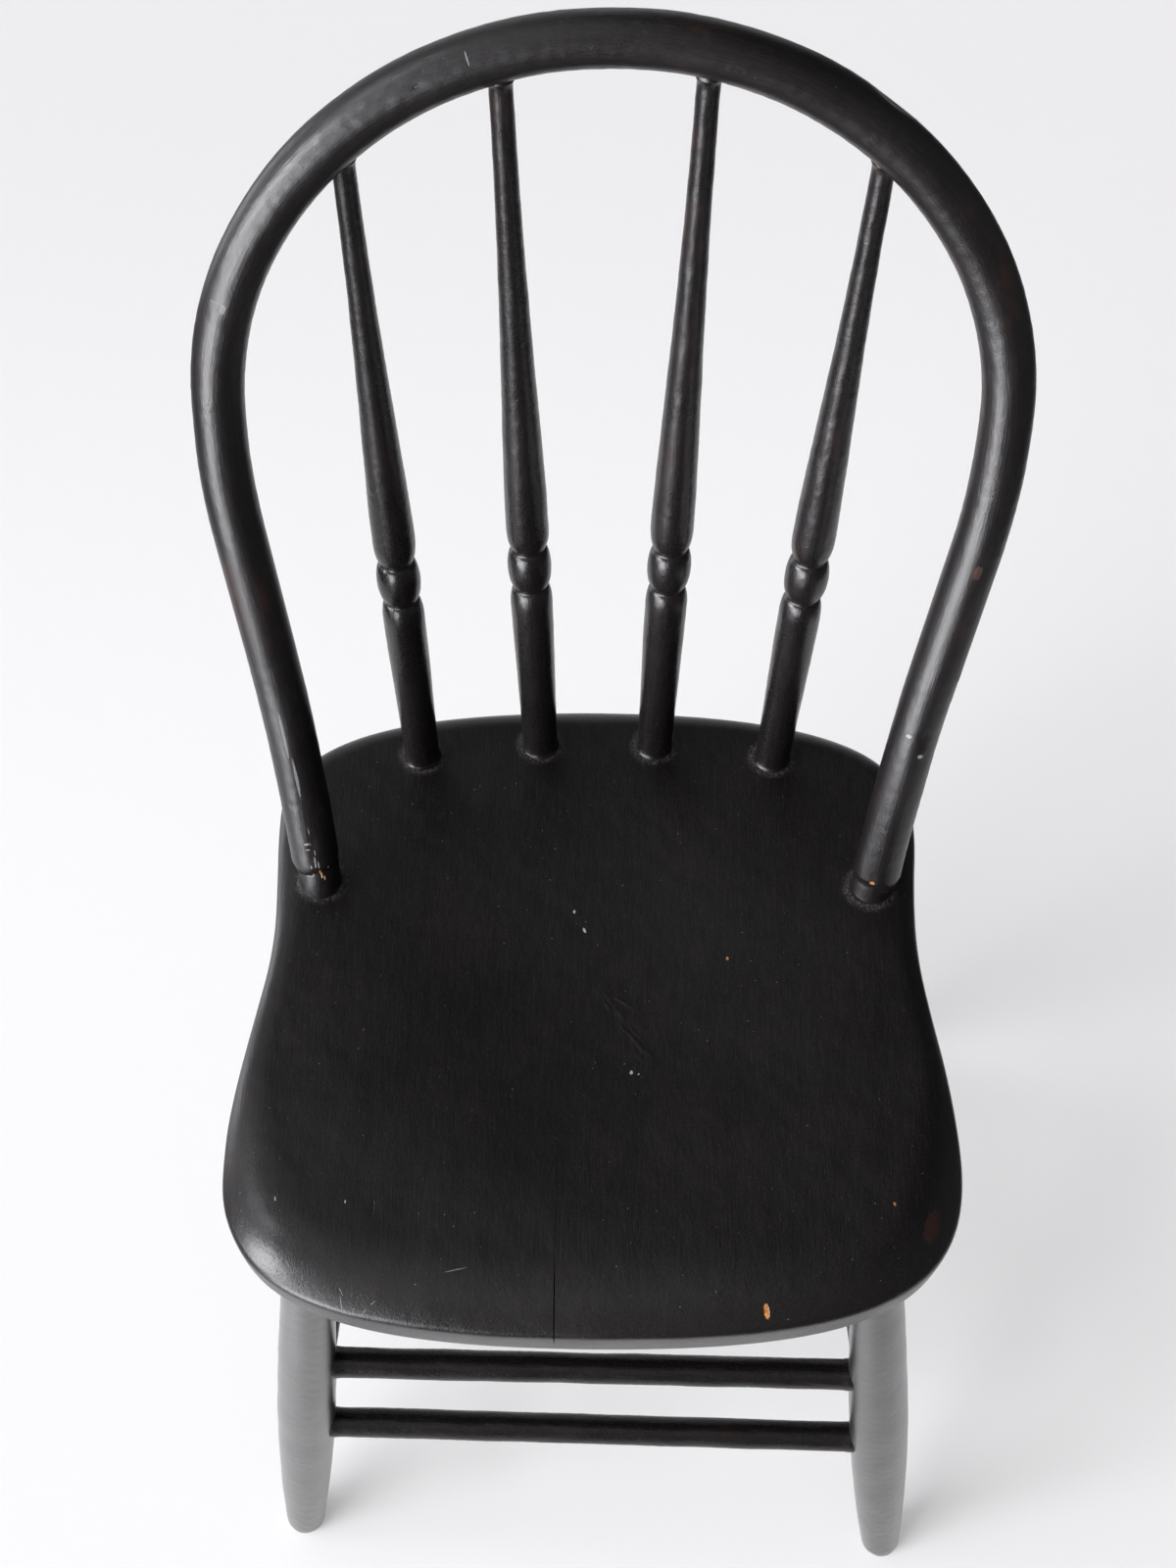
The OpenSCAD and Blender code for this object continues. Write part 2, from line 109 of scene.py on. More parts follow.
INNER_SPINDLE_X = 34 * MM
OUTER_SPINDLE_X = 104 * MM
SPINDLE_INSET = 28.5 * MM
SPINDLE_ROW_SAG = 8.5 * MM
OUTER_SPINDLE_TURN = math.radians(40.4)
INNER_SPINDLE_TURN = math.radians(14.2)
INNER_SPINDLE_SKEW = math.radians(2.8)
OUTER_SPINDLE_SKEW = math.radians(1.5)
SPINDLE_FOOT_D = 20.4 * MM
SPINDLE_SWELL_D = 23.4 * MM
BEAD_D = 24.2 * MM
GROOVE_D = 17.6 * MM
SPINDLE_TIP_D = 11.4 * MM
BEAD_HEIGHT = 152.5 * MM
OUTER_BEAD_SKEW = 2.5 * MM
BEAD_LENGTH = 27.5 * MM
GROOVE_WIDTH = 2 * MM
LOW_ROLL = 13 * MM
HIGH_ROLL = 14 * MM

LEG_FOOT_D = 24 * MM
LEG_BELLY_D = 36 * MM
LEG_BELLY_HEIGHT = 175 * MM
LEG_TOP_D = 26 * MM
FRONT_LEG_INSET = 45 * MM
FRONT_LEG_SETBACK = 80 * MM
BACK_LEG_INSET = 57 * MM
BACK_LEG_SETBACK = 64 * MM

STRETCHER_D = 18.2 * MM
FRONT_STRETCHER_HEIGHTS = {"upper": 219 * MM, "lower": 141 * MM}
SIDE_STRETCHER_HEIGHTS = {"upper": 184 * MM, "lower": 105 * MM}
BACK_STRETCHER_HEIGHT = 144 * MM


# Surface maths -----------------------------------------------------------------

def ripple(points, size, seed, waves=28):
    """Smooth random relief of about -1 to 1, with swells about size across."""
    random = np.random.default_rng(seed)
    total = np.zeros(points.shape[:-1])
    for _ in range(waves):
        direction = random.normal(size=3)
        direction *= 2 * math.pi / size * random.uniform(0.6, 1.3) / np.linalg.norm(direction)
        total += np.sin(points @ direction + random.uniform(0, 2 * math.pi))
    return total / math.sqrt(waves)


def smooth(t):
    t = np.clip(t, 0, 1)
    return t * t * (3 - 2 * t)


def unit(v):
    return v / np.linalg.norm(v, axis=-1, keepdims=True)


def make_mesh(name, points, faces, bench):
    mesh = bpy.data.meshes.new(name)
    mesh.from_pydata(points.tolist(), [], faces)
    mesh.polygons.foreach_set("use_smooth", [True] * len(mesh.polygons))
    mesh.attributes.new("bench", "FLOAT_VECTOR", "POINT").data.foreach_set("vector", bench.ravel())
    mesh.update()
    piece = bpy.data.objects.new(name, mesh)
    bpy.context.scene.collection.objects.link(piece)
    return piece


def ring_faces(rings, sides):
    """Quads between neighbouring rings of points, each ring closed on itself."""
    faces = []
    for k in range(rings - 1):
        low, high = k * sides, (k + 1) * sides
        for j in range(sides):
            after = (j + 1) % sides
            faces.append((low + j, low + after, high + after, high + j))
    return faces


def swept_rod(name, centres, facing, radii, along=None, floor=None):
    """A closed rod whose rings sit on centres. Angle 0 of each ring looks along
    facing, and radii holds a radius for each ring and angle."""
    rings, sides = radii.shape
    steps = np.gradient(centres, axis=0)
    run = unit(steps)
    front = unit(facing - run * np.sum(facing * run, axis=1, keepdims=True))
    side = np.cross(run, front)
    turn = np.linspace(0, 2 * math.pi, sides, endpoint=False)
    if along is None:
        along = np.concatenate([[0], np.cumsum(np.linalg.norm(np.diff(centres, axis=0), axis=1))])
    across = radii * np.cos(turn)
    sideways = radii * np.sin(turn)
    points = centres[:, None] + front[:, None] * across[..., None] + side[:, None] * sideways[..., None]
    if floor is not None:
        reach = np.maximum(0, floor - points[..., 2]) / run[:, None, 2]
        points = points + run[:, None] * reach[..., None]
    bench = np.stack([across, sideways, np.broadcast_to(along[:, None], across.shape)], axis=-1)
    points = points.reshape(-1, 3)
    bench = bench.reshape(-1, 3)
    faces = ring_faces(rings, sides)
    for ring, order in ((0, -1), (rings - 1, 1)):
        loop = list(range(ring * sides, (ring + 1) * sides))[::order]
        centre = len(points)
        points = np.vstack([points, points[loop].mean(axis=0)])
        bench = np.vstack([bench, bench[loop].mean(axis=0)])
        faces += [(loop[j], loop[(j + 1) % sides], centre) for j in range(sides)]
    return make_mesh(name, points, faces, bench)


def painted_round(radius, along, sides, stretch, swell, fine, seed):
    """Radii of a rod's rings, uneven under old paint, and where each point lies on
    the bench. swell and fine are the height and size of the coarse and the fine
    relief, and stretch draws the coarse one out along the rod."""
    turn = np.linspace(0, 2 * math.pi, sides, endpoint=False)
    radii = np.tile(radius[:, None], (1, sides))
    place = np.stack([radii * np.cos(turn), radii * np.sin(turn),
                      np.broadcast_to(along[:, None], radii.shape)], axis=-1)
    radii = radii + swell[0] * ripple(place * [1, 1, stretch], swell[1], seed)
    radii = radii + fine[0] * ripple(place, fine[1], seed + 1)
    return radii, place


FORWARD = (0.0, -1.0, 0.0)


def straight_rod(name, start, end, along, facing, radii, floor=None):
    """A rod on the straight axis from start to end, with a ring at each distance along."""
    centres = start + (end - start) / np.linalg.norm(end - start) * along[:, None]
    return swept_rod(name, centres, np.tile(facing, (len(along), 1)), radii, along, floor)


# Seat --------------------------------------------------------------------------

def bezier(a, b, c, d, count):
    t = np.linspace(0, 1, count, endpoint=False)[:, None]
    return (1 - t) ** 3 * a + 3 * t * (1 - t) ** 2 * b + 3 * t * t * (1 - t) * c + t ** 3 * d


def seat_outline():
    """The seat's edge, anticlockwise from its front middle. x runs from the middle
    of the seat and y from its front edge."""
    front = np.array([0, 0])
    corner = np.array([seat_width / 2, WIDEST_SETBACK])
    waist = np.array([SEAT_WAIST / 2, seat_depth - WAIST_SETBACK])
    shoulder = np.array([SEAT_BACK_WIDTH / 2, seat_depth - SHOULDER_SETBACK])
    back = np.array([0, seat_depth])
    waist_pull = np.array([0, (waist[1] - corner[1]) / 3])
    shoulder_pull = np.array([0, (shoulder[1] - waist[1]) / 3])
    right = np.vstack([
        bezier(front, front + [0.75 * corner[0], 0], corner - [0, 0.72 * WIDEST_SETBACK], corner, 130),
        bezier(corner, corner + waist_pull, waist - waist_pull, waist, 62),
        bezier(waist, waist + shoulder_pull, shoulder - shoulder_pull, shoulder, 34),
        bezier(shoulder, shoulder + [0, 0.67 * SHOULDER_SETBACK],
               back + [0.69 * shoulder[0], 0], back, 110)])
    left = right[:0:-1] * [-1, 1]
    return np.vstack([right, [back], left])


def dish(p):
    r = np.minimum(1, np.linalg.norm((p - [0, DISH_SETBACK]) / DISH_REACH, axis=-1))
    return DISH_DEPTH * np.cos(math.pi / 2 * r) ** 2


def spindle_foot(x):
    """Where a spindle's axis meets the seat, x from the seat's middle."""
    sag = SPINDLE_ROW_SAG if abs(x) > INNER_SPINDLE_X else 0
    return np.array([seat_middle + x, seat_back - SPINDLE_INSET - sag, seat_top])


def paint_lumps():
    """Small lumps of old paint along a crooked line on the seat, each as x from the
    middle, y from the front, half length, half width, turn in degrees and height."""
    random = np.random.default_rng(8)
    path = np.array([(-2, 204), (10, 200), (15, 191), (19, 180), (25, 168), (30, 158)])
    lumps = [(-116, 65, 3.5, 0.8, 90, -0.5)]
    for share in np.linspace(0, len(path) - 1, 26):
        x, y = (np.interp(share, range(len(path)), path[:, axis]) for axis in (0, 1))
        x, y = random.normal((x, y), (3.0, 2.5))
        lumps.append((x, y, random.uniform(1.5, 4.5), random.uniform(0.7, 1.4),
                      random.uniform(40, 150), random.uniform(0.10, 0.34)))
    return lumps


def seat_relief(p):
    """Height of the hand-worked top over its plain shape, where p is (x, y)."""
    flat = np.concatenate([p, np.zeros(p.shape[:-1] + (1,))], axis=-1)
    relief = SEAT_WAVE[0] * ripple(flat, SEAT_WAVE[1], 3)
    relief = relief + SEAT_BRUSHING[0] * ripple(flat, SEAT_BRUSHING[1], 4)
    for x, y, half_length, half_width, turn, height in paint_lumps():
        turn = math.radians(turn)
        off = p - [x * MM, y * MM]
        lengthwise = (off @ [math.cos(turn), math.sin(turn)]) / (half_length * MM)
        crosswise = (off @ [-math.sin(turn), math.cos(turn)]) / (half_width * MM)
        relief = relief + height * MM * np.exp(-lengthwise ** 2 - crosswise ** 2)
    return relief


def feet_on_seat(hand):
    """Middle and radius of each foot that stands on one side of the seat, x from the
    seat's middle and y from its front edge."""
    feet = [(spindle_foot(hand * x)[:2], SPINDLE_FOOT_D / 2) for x in (INNER_SPINDLE_X, OUTER_SPINDLE_X)]
    feet.append((bow_foot(hand)[:2], TENON_D / 2))
    return [(foot - [seat_middle, seat_front], radius) for foot, radius in feet]


def paint_fillets(p):
    """Paint built up round the feet of the spindles and the bow."""
    rise = np.zeros(p.shape[:-1])
    for hand in SIDES:
        for centre, radius in feet_on_seat(hand):
            gap = np.linalg.norm(p - centre, axis=-1) - radius
            rise = rise + FOOT_FILLET[0] * np.exp(-(np.maximum(gap, 0) / FOOT_FILLET[1]) ** 2)
    return rise


CHAMFER_ROWS = 4
SIDE_ROWS = 9
ARRIS_ROWS = 4
ROLL_ROWS = 26
DISH_ROWS = 64
TOP_ROWS_START = CHAMFER_ROWS + SIDE_ROWS + ARRIS_ROWS


def seat_rows():
    """The seat's skin as rings of points, from the underside up, in and across."""
    edge = seat_outline()
    tangent = unit(np.roll(edge, -1, axis=0) - np.roll(edge, 1, axis=0))
    outward = np.stack([tangent[:, 1], -tangent[:, 0]], axis=1)
    front_share = 1 - smooth((edge[:, 1] - ROLL_FADE[0]) / (ROLL_FADE[1] - ROLL_FADE[0]))
    roll_drop = SIDE_ROLL[0] + (FRONT_ROLL[0] - SIDE_ROLL[0]) * front_share
    roll_width = SIDE_ROLL[1] + (FRONT_ROLL[1] - SIDE_ROLL[1]) * front_share
    middle = np.array([0, DISH_SETBACK])
    rows = []

    def add(inset, height):
        p = edge - outward * np.broadcast_to(inset, edge.shape[:1])[:, None]
        rows.append(np.column_stack([p, np.broadcast_to(height, edge.shape[:1])]))

    for share in np.linspace(0, 1, CHAMFER_ROWS, endpoint=False):
        add(SIDE_UNDERCUT + UNDER_CHAMFER * (1 - math.sin(share * math.pi / 2)),
            seat_under + UNDER_CHAMFER * (1 - math.cos(share * math.pi / 2)))
    side_low = seat_under + UNDER_CHAMFER
    arris_share = ARRIS_RADIUS * (1 - math.cos(ARRIS_TURN)) / roll_width
    arris_top = seat_top - roll_drop * (1 - arris_share) ** ROLL_POWER
    side_high = arris_top - ARRIS_RADIUS * math.sin(ARRIS_TURN)
    for share in np.linspace(0, 1, SIDE_ROWS):
        add(SIDE_UNDERCUT * (1 - share) ** 1.25, side_low + (side_high - side_low) * share)
    for turn in ARRIS_TURN * np.linspace(0, 1, ARRIS_ROWS + 2)[1:-1]:
        add(ARRIS_RADIUS * (1 - math.cos(turn)), side_high + ARRIS_RADIUS * math.sin(turn))
    for share in np.linspace(0, 1, ROLL_ROWS) ** 1.3:
        share = arris_share + (1 - arris_share) * share
        p = edge - outward * (roll_width * share)[:, None]
        drop = roll_drop * (1 - share) ** ROLL_POWER
        rows.append(np.column_stack([p, seat_top - drop - dish(p)]))
    inner = edge - outward * roll_width[:, None]
    for share in np.linspace(0, 1, DISH_ROWS + 2)[1:-1]:
        p = inner + (middle - inner) * share
        rows.append(np.column_stack([p, seat_top - dish(p)]))
    return np.array(rows)


def seat_blank():
    """Both boards as one mesh's points and faces."""
    rows = seat_rows()
    top = rows[TOP_ROWS_START:]
    fade = np.minimum(1, np.arange(len(top)) / 6)[:, None]
    top[..., 2] += fade * (seat_relief(top[..., :2]) + paint_fillets(top[..., :2]))
    side = rows[CHAMFER_ROWS:TOP_ROWS_START]
    side_wave = SIDE_WAVE[0] * ripple(side, SIDE_WAVE[1], 6)
    side[..., 0] += side_wave
    side[..., 1] += side_wave
    count = rows.shape[1]
    points = rows.reshape(-1, 3)
    faces = ring_faces(len(rows), count)
    middle = [0, DISH_SETBACK]
    bottom = len(points)
    last = (len(rows) - 1) * count
    points = np.vstack([points, [*middle, seat_under], [*middle, points[last:, 2].mean()]])
    for j in range(count):
        after = (j + 1) % count
        faces.append((after, j, bottom))
        faces.append((last + j, last + after, bottom + 1))
    points[:, 0] += seat_middle
    points[:, 1] += seat_front
    last_edge_face = (TOP_ROWS_START - 1) * count
    on_edge = [int(k < last_edge_face) for k in range(len(faces))]
    return points, faces, on_edge


def seam_half_gap(place):
    """Half the glue joint's opening: bridged by paint at the back, a shallow crack in front."""
    from_front = (place.y - seat_front) / MM
    opening = 0.26 * (1 - smooth((from_front - 22) / 22))
    hairline = 0.05 * (1 - smooth((from_front - 60) / 80))
    shallow = smooth((place.z - seat_under - 10 * MM) / (14 * MM))
    return (0.004 + (opening + hairline) * shallow) * MM


def seat_board(hand, blank):
    """One board, cut from the blank along the glue joint."""
    points, faces, on_edge = blank
    name = "seat_board_" + SIDES[hand]
    piece = make_mesh(name + "_painted", points, faces, points)
    piece.data.polygons.foreach_set("material_index", on_edge)
    work = bmesh.new()
    work.from_mesh(piece.data)
    bmesh.ops.bisect_plane(
        work, geom=work.verts[:] + work.edges[:] + work.faces[:], dist=1e-7,
        plane_co=(seam_x, 0, 0), plane_no=(-hand, 0, 0), clear_outer=True)
    rim = [edge for edge in work.edges if edge.is_boundary]
    bmesh.ops.contextual_create(work, geom=rim)
    for edge in rim:
        edge.smooth = False
    for vert in work.verts:
        if abs(vert.co.x - seam_x) < 1e-6:
            vert.co.x = seam_x + hand * seam_half_gap(vert.co)
    bmesh.ops.recalc_face_normals(work, faces=work.faces[:])
    work.to_mesh(piece.data)
    work.free()
    mesh = piece.data
    places = np.empty(len(mesh.vertices) * 3)
    mesh.vertices.foreach_get("co", places)
    places = places.reshape(-1, 3) - [seat_middle, seat_front, seat_top]
    bench = places[:, [0, 2, 1]]
    mesh.attributes["bench"].data.foreach_set("vector", bench.ravel())
    flat = [abs(face.normal.x) > 0.99 and face.area > 1e-3 for face in mesh.polygons]
    mesh.polygons.foreach_set("use_smooth", [not is_cut for is_cut in flat])
    return piece, name


# Bow ---------------------------------------------------------------------------

heel_rise = SHOULDER_RISE + HEEL_R * (math.sin(SIDE_SPLAY) - math.sin(HEEL_SPLAY))
side_rise = heel_rise + SIDE_R * math.sin(SIDE_SPLAY)
heel_run = HEEL_R * (math.cos(HEEL_SPLAY) - math.cos(SIDE_SPLAY))
side_run = SIDE_R * (1 - math.cos(SIDE_SPLAY))
foot_run = SEAT_WAIST / 2 - BOW_INSET
hoop_r = (foot_run + heel_run + side_run + (BOW_RISE - side_rise) * math.tan(SIDE_SPLAY)) / (
    1 + math.tan(SIDE_SPLAY))
hoop_rise = BOW_RISE - hoop_r
bow_up = np.array([0, math.sin(BOW_TILT), math.cos(BOW_TILT)])
bow_front = np.array([0, -math.cos(BOW_TILT), math.sin(BOW_TILT)])


def on_bow(u, h):
    """Takes a point of the bow's own plane, u across and h up its slope, to its place."""
    u, h = np.asarray(u, float), np.asarray(h, float)
    x = u * math.cos(BOW_LEAN) + h * math.sin(BOW_LEAN)
    slope = h * math.cos(BOW_LEAN) - u * math.sin(BOW_LEAN)
    foot = np.array([seat_middle, seat_back - BOW_SETBACK, seat_top])
    return foot + x[..., None] * [1, 0, 0] + slope[..., None] * bow_up


def bow_foot(hand):
    """Where the bow's tenon meets the seat's top."""
    shift = (BOW_D - TENON_D) / 2 + SHOULDER_RISE * math.tan(HEEL_SPLAY)
    return on_bow(hand * (foot_run - shift), 0)


def bow_half():
    """The right half of the bow's centre line, shoulder to top, in its own plane."""
    heel_centre = np.array([foot_run + heel_run + HEEL_R * math.cos(SIDE_SPLAY),
                            heel_rise - HEEL_R * math.sin(SIDE_SPLAY)])
    heel = math.pi - np.linspace(HEEL_SPLAY, SIDE_SPLAY, 76, endpoint=False)
    bend = np.linspace(-SIDE_SPLAY, 0, 42, endpoint=False)
    hoop = np.linspace(0, math.pi / 2, 160)
    return np.vstack([
        heel_centre + HEEL_R * np.column_stack([np.cos(heel), np.sin(heel)]),
        [hoop_r - SIDE_R, hoop_rise] + SIDE_R * np.column_stack([np.cos(bend), np.sin(bend)]),
        [0, hoop_rise] + hoop_r * np.column_stack([np.cos(hoop), np.sin(hoop)])])


# Knocks in the bow: angle from its front towards its inner side, distance along
# from the left shoulder, reach across and along, and depth
BOW_DENTS = [
    (-93, 734, (4, 4, 9), 1.1), (-14, 513, (2, 2, 3), 0.4), (-18, 363, (3, 3, 3), 0.25),
    (8, 20, (3, 3, 12), 0.45), (30, 640, (2, 2, 5), 0.2), (-10, 1110, (2, 2, 5), 0.3),
    (18, 1214, (2, 2, 4), 0.3),
]


def knocked_in(radii, place):
    """The bow's radii with the knocks sunk in. place is each point's on the bench."""
    for angle, at, reach, depth in BOW_DENTS:
        dent = np.array([math.cos(math.radians(angle)), math.sin(math.radians(angle)), 0]) * BOW_D / 2
        dent[2] = at * MM
        distance = np.linalg.norm((place - dent) / (np.array(reach) * MM), axis=-1)
        radii = radii - depth * MM * np.exp(-distance ** 2)
    return radii


def bow():
    """The bent rod from its left foot over to its right, with a tenon at each foot."""
    half = bow_half()
    heel_way = np.array([math.sin(HEEL_SPLAY), math.cos(HEEL_SPLAY)])
    inward = np.array([-math.cos(HEEL_SPLAY), math.sin(HEEL_SPLAY)])
    tenon_shift = inward * ((BOW_D - TENON_D) / 2 - 0.6 * MM)
    tenon_depths = np.array([24, 20, 17, 15.6, 14.6, 13.8, 13, 12, 10, 7, 4, 1.5, 0.3]) * MM
    tenon = half[0] + tenon_shift - heel_way * tenon_depths[:, None]
    half = np.vstack([tenon, half])
    line = np.vstack([half * [-1, 1], half[-2::-1]])
    centres = on_bow(line[:, 0], line[:, 1])
    count = len(centres)
    along = np.concatenate([[0], np.cumsum(np.linalg.norm(np.diff(centres, axis=0), axis=1))])
    along = along - along[len(tenon)]
    base = np.full(count, BOW_D / 2)
    base[:len(tenon)] = TENON_D / 2
    base[-len(tenon):] = TENON_D / 2
    for end, step in ((len(tenon), 1), (count - len(tenon) - 1, -1)):
        base[end] -= 1.0 * MM
        base[end + step] -= 0.25 * MM
    radii, place = painted_round(base, along, 84, 0.4, (0.16 * MM, 26 * MM), (0.05 * MM, 7 * MM), 11)
    facing = np.tile(bow_front, (count, 1))
    return swept_rod("bow_painted", centres, facing, knocked_in(radii, place), along)


# Spindles ----------------------------------------------------------------------

def spindle_head(hand, x):
    """Where a spindle's axis meets the bow's centre line."""
    if x == INNER_SPINDLE_X:
        turn = hand * INNER_SPINDLE_TURN - INNER_SPINDLE_SKEW
    else:
        turn = hand * OUTER_SPINDLE_TURN - OUTER_SPINDLE_SKEW
    return on_bow(hoop_r * math.sin(turn), hoop_rise + hoop_r * math.cos(turn))


def spindle_profile(length, bead_middle):
    """Radius against height for a spindle whose axis is length long, as two lists."""
    foot, swell, tip = SPINDLE_FOOT_D / 2, SPINDLE_SWELL_D / 2, SPINDLE_TIP_D / 2
    bead, groove = BEAD_D / 2, GROOVE_D / 2
    low_groove = bead_middle - BEAD_LENGTH / 2 - GROOVE_WIDTH
    high_groove = bead_middle + BEAD_LENGTH / 2 + GROOVE_WIDTH
    low_swell, high_swell = low_groove - LOW_ROLL, high_groove + HIGH_ROLL
    quarter = np.linspace(0, math.pi / 2, 14)
    half = np.linspace(-math.pi / 2, math.pi / 2, 26)
    rise = np.linspace(0, 1, 30)
    taper = np.linspace(0, 1, 150)
    heights = np.concatenate([
        [-6 * MM], rise * low_swell,
        low_swell + (low_groove - low_swell) * np.sin(quarter[1:]),
        bead_middle + BEAD_LENGTH / 2 * np.sin(half),
        high_groove + (high_swell - high_groove) * (1 - np.cos(quarter)),
        high_swell + (length - high_swell - 9 * MM) * taper[1:]])
    radii = np.concatenate([
        [foot], foot + (swell - foot) * smooth(rise),
        groove + (swell - groove) * np.cos(quarter[1:]),
        groove + (bead - groove) * np.cos(half),
        groove + (swell - groove) * np.sin(quarter),
        tip + (swell - tip) * (1 + np.cos(math.pi * taper[1:] ** 0.74)) / 2])
    return heights, radii


def spindle(hand, x, name, seed):
    """A turned spindle with a bead, and a little paint gathered at both ends."""
    foot = spindle_foot(hand * x)
    head = spindle_head(hand, x)
    length = np.linalg.norm(head - foot)
    bead_skew = hand * OUTER_BEAD_SKEW if x == OUTER_SPINDLE_X else 0
    heights, profile = spindle_profile(length, BEAD_HEIGHT + bead_skew)
    fine = np.arange(0, 3 * MM, 0.5 * MM)
    extra = np.concatenate([fine, length - BOW_D / 2 - fine])
    along = np.unique(np.concatenate([heights, extra]))
    along = along[np.concatenate([[True], np.diff(along) > 0.12 * MM])]
    base = np.interp(along, heights, profile)
    base = base + 1.1 * MM * np.exp(-(np.maximum(along, 0) / (1.3 * MM)))
    top_gap = np.abs(length - BOW_D / 2 - along)
    base = base + 1.2 * MM * np.exp(-(top_gap / (2.0 * MM)) ** 1.5)
    radii, _ = painted_round(base, along, 64, 0.5, (0.07 * MM, 14 * MM), (0.04 * MM, 5 * MM), seed)
    return straight_rod(name + "_painted", foot, head, along, FORWARD, radii)


# Legs --------------------------------------------------------------------------

feet = {mount["name"]: np.array(mount["pos_m"]) for mount in frame["record"]["mounts"]}


def leg_line(end, hand):
    """A leg's axis, from the middle of its foot up to the seat's underside."""
    foot = feet[f"foot_{end}_{SIDES[hand]}"]
    if end == "front":
        top = [seat_middle + hand * (seat_width / 2 - FRONT_LEG_INSET),
               seat_front + FRONT_LEG_SETBACK, seat_under]
    else:
        top = [seat_middle + hand * (SEAT_BACK_WIDTH / 2 - BACK_LEG_INSET),
               seat_back - BACK_LEG_SETBACK, seat_under]
    return foot, np.array(top)


def leg(end, hand, name, seed):
    """A turned leg, cut level at the floor."""
    foot, top = leg_line(end, hand)
    length = np.linalg.norm(top - foot)
    shaft = np.arange(6 * MM, length + 8 * MM, 1.9 * MM)
    along = np.concatenate([[-4 * MM], np.arange(-3, 4) * MM, shaft])
    low = np.clip(1 - along / LEG_BELLY_HEIGHT, 0, 1)
    high = np.clip((along - LEG_BELLY_HEIGHT) / (length - LEG_BELLY_HEIGHT), 0, 1)
    base = (LEG_BELLY_D - (LEG_BELLY_D - LEG_FOOT_D) * low ** 2
            - (LEG_BELLY_D - LEG_TOP_D) * high ** 1.4) / 2
    base = base - 1.1 * MM * np.exp(-np.maximum(along, 0) / (1.2 * MM))
    base = base + 0.8 * MM * np.exp(-((length - along) / (2 * MM)) ** 2)
    radii, _ = painted_round(base, along, 72, 0.6, (0.12 * MM, 24 * MM), (0.04 * MM, 6 * MM), seed)
    return straight_rod(name + "_painted", foot, top, along, FORWARD, radii, floor=0.0)


# Stretchers --------------------------------------------------------------------

def leg_at(end, hand, height):
    """The point on a leg's axis at a height over the floor."""
    foot, top = leg_line(end, hand)
    return foot + (top - foot) * height / top[2]


def stretcher(a, b, facing, name, seed):
    """A round rod between two legs' axes, with paint gathered where it enters them."""
    length = np.linalg.norm(b - a)
    along = np.linspace(3 * MM, length - 3 * MM, 150)
    base = np.full(len(along), STRETCHER_D / 2)
    for end in (17 * MM, length - 17 * MM):
        base = base + 0.5 * MM * np.exp(-((along - end) / (3.2 * MM)) ** 2)
    radii, _ = painted_round(base, along, 56, 0.35, (0.14 * MM, 16 * MM), (0.05 * MM, 5 * MM), seed)
    return straight_rod(name + "_painted", a, b, along, facing, radii)


# Shader maths ------------------------------------------------------------------

class Value:
    """A node's output, so that maths on it can be written as Python."""

    def __init__(self, recipe, socket):
        self.recipe = recipe
        self.socket = socket

    def _maths(self, operation, first, second):
        vectors = any(isinstance(v, Value) and v.socket.type == "VECTOR" for v in (first, second))
        kind = "VectorMath" if vectors else "Math"
        if vectors:
            first, second = (v if isinstance(v, (Value, tuple)) else (v, v, v) for v in (first, second))
        return self.recipe.node(kind, {"operation": operation}, {0: first, 1: second})

    def __add__(self, other):
        return self._maths("ADD", self, other)

    def __radd__(self, other):
        return self._maths("ADD", other, self)

    def __sub__(self, other):
        return self._maths("SUBTRACT", self, other)

    def __rsub__(self, other):
        return self._maths("SUBTRACT", other, self)

    def __mul__(self, other):
        return self._maths("MULTIPLY", self, other)

    def __rmul__(self, other):
        return self._maths("MULTIPLY", other, self)

    def __truediv__(self, other):
        return self._maths("DIVIDE", self, other)

    def most(self, other):
        return self._maths("MAXIMUM", self, other)

    def length(self):
        return self.recipe.node("VectorMath", {"operation": "LENGTH"}, {0: self}, "Value")

    def dot(self, other):
        return self.recipe.node("VectorMath", {"operation": "DOT_PRODUCT"}, {0: self, 1: other}, "Value")

    def between(self, low, high):
        """0 below low and 1 above high, with a smooth step in between."""
        return self.recipe.node(
            "MapRange", {"interpolation_type": "SMOOTHSTEP"},
            {"Value": self, "From Min": low, "From Max": high}, "Result")


class Recipe:
    """A node tree that is filled one node at a time."""

    def __init__(self, tree):
        self.tree = tree
        tree.nodes.clear()

    def node(self, kind, settings=None, inputs=None, output=0):
        made = self.tree.nodes.new("ShaderNode" + kind)
        for name, value in (settings or {}).items():
            setattr(made, name, value)
        for name, value in (inputs or {}).items():
            if isinstance(value, Value):
                self.tree.links.new(value.socket, made.inputs[name])
            else:
                made.inputs[name].default_value = value
        return Value(self, made.outputs[output]) if made.outputs else made

    def noise(self, place, size, detail, rough):
        """Noise of 0 to 1 whose swells are about size across."""
        return self.node("TexNoise", {}, {
            "Vector": place, "Scale": 1 / size, "Detail": detail, "Roughness": rough})

    def specks(self, place, size):
        """Distance to the nearest of many scattered points about size apart, over size."""
        return self.node("TexVoronoi", {}, {"Vector": place, "Scale": 1 / size}, "Distance")

    def mix(self, factor, colour, other):
        return self.node("Mix", {"data_type": "RGBA"}, {
            "Factor": factor, 6: colour, 7: other}, 2)


# Paint -------------------------------------------------------------------------

